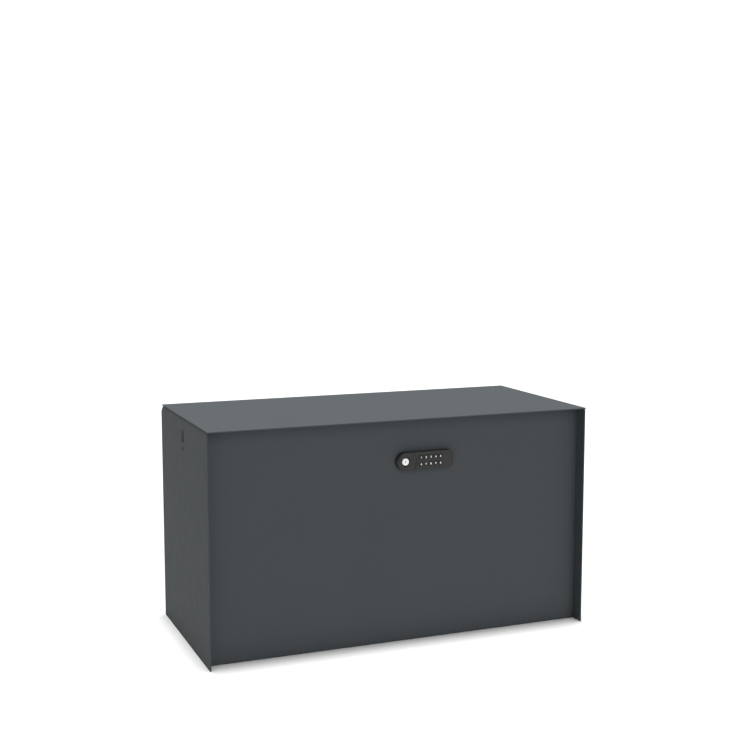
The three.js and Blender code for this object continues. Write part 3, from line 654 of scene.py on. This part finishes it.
def build_bracket_rivets(side):
    """Two rivets in each of a gas spring's brackets."""
    inward = 1 if side == "left" else -1
    low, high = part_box(f"{side}_gas_spring_head_bracket")
    face = low.x if side == "left" else high.x
    outward = (-inward, 0, 0)
    from_top = 7 * MM
    from_front = 6 * MM
    from_rear = 5 * MM
    up = high.z - from_top
    places = [((face, y, up), outward) for y in (low.y + from_front, high.y - from_rear)]
    fastener_piece(f"{side}_head_bracket_rivets", "lid", "ground_steel", add_rivet, places)
    low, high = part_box(f"{side}_gas_spring_foot_bracket")
    plate = 2.5 * MM
    from_end = 6 * MM
    face = low.x + plate if side == "left" else high.x - plate
    middle = (low.y + high.y) / 2
    places = [((face, middle, z), (inward, 0, 0)) for z in (low.z + from_end, high.z - from_end)]
    fastener_piece(f"{side}_foot_bracket_rivets", "cabinet", "ground_steel", add_rivet, places)


def build_strike_rivets():
    """Two rivets through the strike plate's rear face."""
    low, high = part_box("strike_plate")
    middle = (low.x + high.x) / 2
    half_pitch = 12 * MM
    from_top = 9 * MM
    places = []
    for across in (-half_pitch, half_pitch):
        places.append(((middle + across, high.y, high.z - from_top), (0, 1, 0)))
    fastener_piece("strike_rivets", "lid", "ground_steel", add_rivet, places)


def build_lid_welds():
    """Spot welds along the frame's shelf and the stiffener's flanges."""
    places = []
    low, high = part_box("lid_frame")
    shelf = high.z - 2 * MM
    inset = 10 * MM
    long_run_end = 30 * MM
    short_run_end = 60 * MM
    for x in spaced(low.x + long_run_end, high.x - long_run_end, 10):
        for y in (low.y + inset, high.y - inset):
            places.append(((x, y, shelf), (0, 0, -1)))
    for y in spaced(low.y + short_run_end, high.y - short_run_end, 3):
        for x in (low.x + inset, high.x - inset):
            places.append(((x, y, shelf), (0, 0, -1)))
    low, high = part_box("lid_stiffener")
    flange = high.z - 1.5 * MM
    flange_run_end = 25 * MM
    flange_inset = 6.5 * MM
    for x in spaced(low.x + flange_run_end, high.x - flange_run_end, 8):
        for y in (low.y + flange_inset, high.y - flange_inset):
            places.append(((x, y, flange), (0, 0, -1)))
    fastener_piece("lid_spot_welds", "lid", "anthracite_paint", add_weld_spot, places)


def spaced(start, end, count):
    return [start + (end - start) * step / (count - 1) for step in range(count)]


def build_cover_screw():
    """The battery cover's screw, head towards the inside of the box."""
    low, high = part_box("battery_cover_screw")
    middle = (low + high) / 2
    head = 1.4 * MM
    bm = bmesh.new()
    centre = (middle.x, high.y - head, middle.z)
    shank = (1.5 * MM, high.y - head - low.y)
    add_socket_screw(bm, centre, (0, 1, 0), radius=2.8 * MM, height=head, shank=shank)
    piece = finish_piece("cover_screw", bm, "zinc_plated_steel", "cabinet")
    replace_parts(piece, "battery_cover_screw")


def build_cover_grip():
    """Raised ridges for a thumb on the battery cover."""
    low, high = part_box("battery_cover")
    bm = bmesh.new()
    half_length = 7.0 * MM
    ridge = 0.7 * MM
    farthest_ridge = 22 * MM
    nearest_ridge = 10 * MM
    for x in spaced(high.x - farthest_ridge, high.x - nearest_ridge, 5):
        outline = rounded_rectangle(ridge, half_length, ridge * 0.95)
        rings = []
        for share, rise in ((1.0, -0.1), (0.95, 0.25), (0.7, 0.5), (0.3, 0.6)):
            points = [(u * share, v * (1 - (1 - share) * 0.1)) for u, v in outline]
            rings.append(facing_front(x, high.y + rise * MM, (low.z + high.z) / 2, points))
        add_loft(bm, rings)
    finish_piece("battery_cover_grip", bm, "black_plastic", "cabinet")


# ---------------------------------------------------------------- rubber parts
def build_edge_seal(side):
    """A rubber strip that fills the slot between a side panel's top edge and the lid."""
    low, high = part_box(f"{side}_edge_seal")
    middle = (low + high) / 2
    squeeze = 0.26 * MM
    corner = 0.4 * MM
    half_width = (high.x - low.x) / 2
    half_height = (high.z - low.z) / 2 + squeeze
    points = rounded_rectangle(half_width, half_height, corner)
    bm = bmesh.new()
    add_loft(bm, [facing_front(middle.x, y, middle.z, points) for y in (low.y, high.y)])
    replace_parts(finish_piece(f"{side}_seal_strip", bm, "rubber", "cabinet"), f"{side}_edge_seal")


def build_floor_mat():
    """A rubber mat with rounded ribs that run from side to side."""
    low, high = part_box("floor_mat")
    pitch = 8.0 * MM
    rib_half = 2.6 * MM
    rib_rise = 1.3 * MM
    base = high.z - rib_rise
    profile = [(low.y, low.z), (low.y, base)]
    count = int((high.y - low.y) / pitch)
    first = low.y + ((high.y - low.y) - pitch * (count - 1)) / 2
    for rib in range(count):
        middle = first + rib * pitch
        for step in range(9):
            angle = math.pi * step / 8
            profile.append((middle - rib_half * math.cos(angle), base + rib_rise * math.sin(angle) ** 0.7))
    profile += [(high.y, base), (high.y, low.z)]
    bm = bmesh.new()
    add_loft(bm, [[Vector((x, y, z)) for y, z in profile] for x in (low.x, high.x)])
    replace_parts(finish_piece("ribbed_mat", bm, "rubber", "cabinet", sharp=50.0), "floor_mat")


build_knob()
build_key_cylinder()
for key_number in range(1, 11):
    build_digit(key_number, build_key_cap(key_number))
build_lock_gasket()
for end in SIDES:
    build_hinge_screws(end)
    build_bracket_rivets(end)
    build_edge_seal(end)
build_strike_rivets()
build_lid_welds()
build_cover_screw()
build_cover_grip()
build_floor_mat()


# ---------------------------------------------------------------- camera, light and floor
def build_camera():
    """A 61 mm lens at the height of a seated viewer, left of the box and turned to its right."""
    yaw = math.radians(21.98)
    pitch = math.radians(7.175)
    ahead = Vector((math.sin(yaw) * math.cos(pitch), math.cos(yaw) * math.cos(pitch), -math.sin(pitch)))
    data = bpy.data.cameras.new("camera")
    data.lens = 60.87
    data.sensor_width = 36.0
    data.clip_start = 0.05
    data.clip_end = 60.0
    camera = bpy.data.objects.new("camera", data)
    camera.location = (-0.9691, -2.4191, 0.8477)
    camera.rotation_mode = "QUATERNION"
    camera.rotation_quaternion = ahead.to_track_quat("-Z", "Y")
    bpy.context.scene.collection.objects.link(camera)
    bpy.context.scene.camera = camera


ROOM_LIGHT = 0.25               # the room's soft light; the backdrop itself stays white
SOFT_BOXES = {                  # strength, spread in degrees and the way it lies from the box
    "top_soft_box": (6.0, 12.0, (0.0, 0.0, 1.0)),
    "front_soft_box": (1.1, 45.0, (0.1, -0.9, 0.42)),
}


def build_light():
    world = bpy.data.worlds.new("studio")
    world.use_nodes = True
    tree = world.node_tree
    background = tree.nodes["Background"]
    background.inputs["Color"].default_value = (1.0, 1.0, 1.0, 1.0)
    rays = tree.nodes.new("ShaderNodeLightPath")
    strength = tree.nodes.new("ShaderNodeMapRange")
    strength.inputs["To Min"].default_value = ROOM_LIGHT
    strength.inputs["To Max"].default_value = 1.0
    tree.links.new(rays.outputs["Is Camera Ray"], strength.inputs["Value"])
    tree.links.new(strength.outputs["Result"], background.inputs["Strength"])
    bpy.context.scene.world = world
    for name, (energy, spread, toward) in SOFT_BOXES.items():
        data = bpy.data.lights.new(name, "SUN")
        data.energy = energy
        data.angle = math.radians(spread)
        light = bpy.data.objects.new(name, data)
        light.rotation_mode = "QUATERNION"
        light.rotation_quaternion = Vector(toward).to_track_quat("Z", "Y")
        bpy.context.scene.collection.objects.link(light)
    bpy.context.scene.view_settings.view_transform = "Standard"


def build_floor():
    mesh = bpy.data.meshes.new("floor")
    reach = 30.0
    corners = [(-reach, -reach, 0.0), (reach, -reach, 0.0), (reach, reach, 0.0), (-reach, reach, 0.0)]
    mesh.from_pydata(corners, [], [(0, 1, 2, 3)])
    floor = bpy.data.objects.new("floor", mesh)
    shader = Shader("pale_floor", (0.56, 0.56, 0.56), 0.9)
    shader.tint(shader.noise(3.0), (0.55, 0.55, 0.55), (0.57, 0.57, 0.57))
    shader.set("Specular IOR Level", 0.1)
    mesh.materials.append(shader.material)
    bpy.context.scene.collection.objects.link(floor)
    floor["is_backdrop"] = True


build_camera()
build_light()
build_floor()

visual_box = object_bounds()
boxes = {"cad": cad_box, "visual": visual_box}
{name: [list(corner) for corner in box] for name, box in boxes.items()}
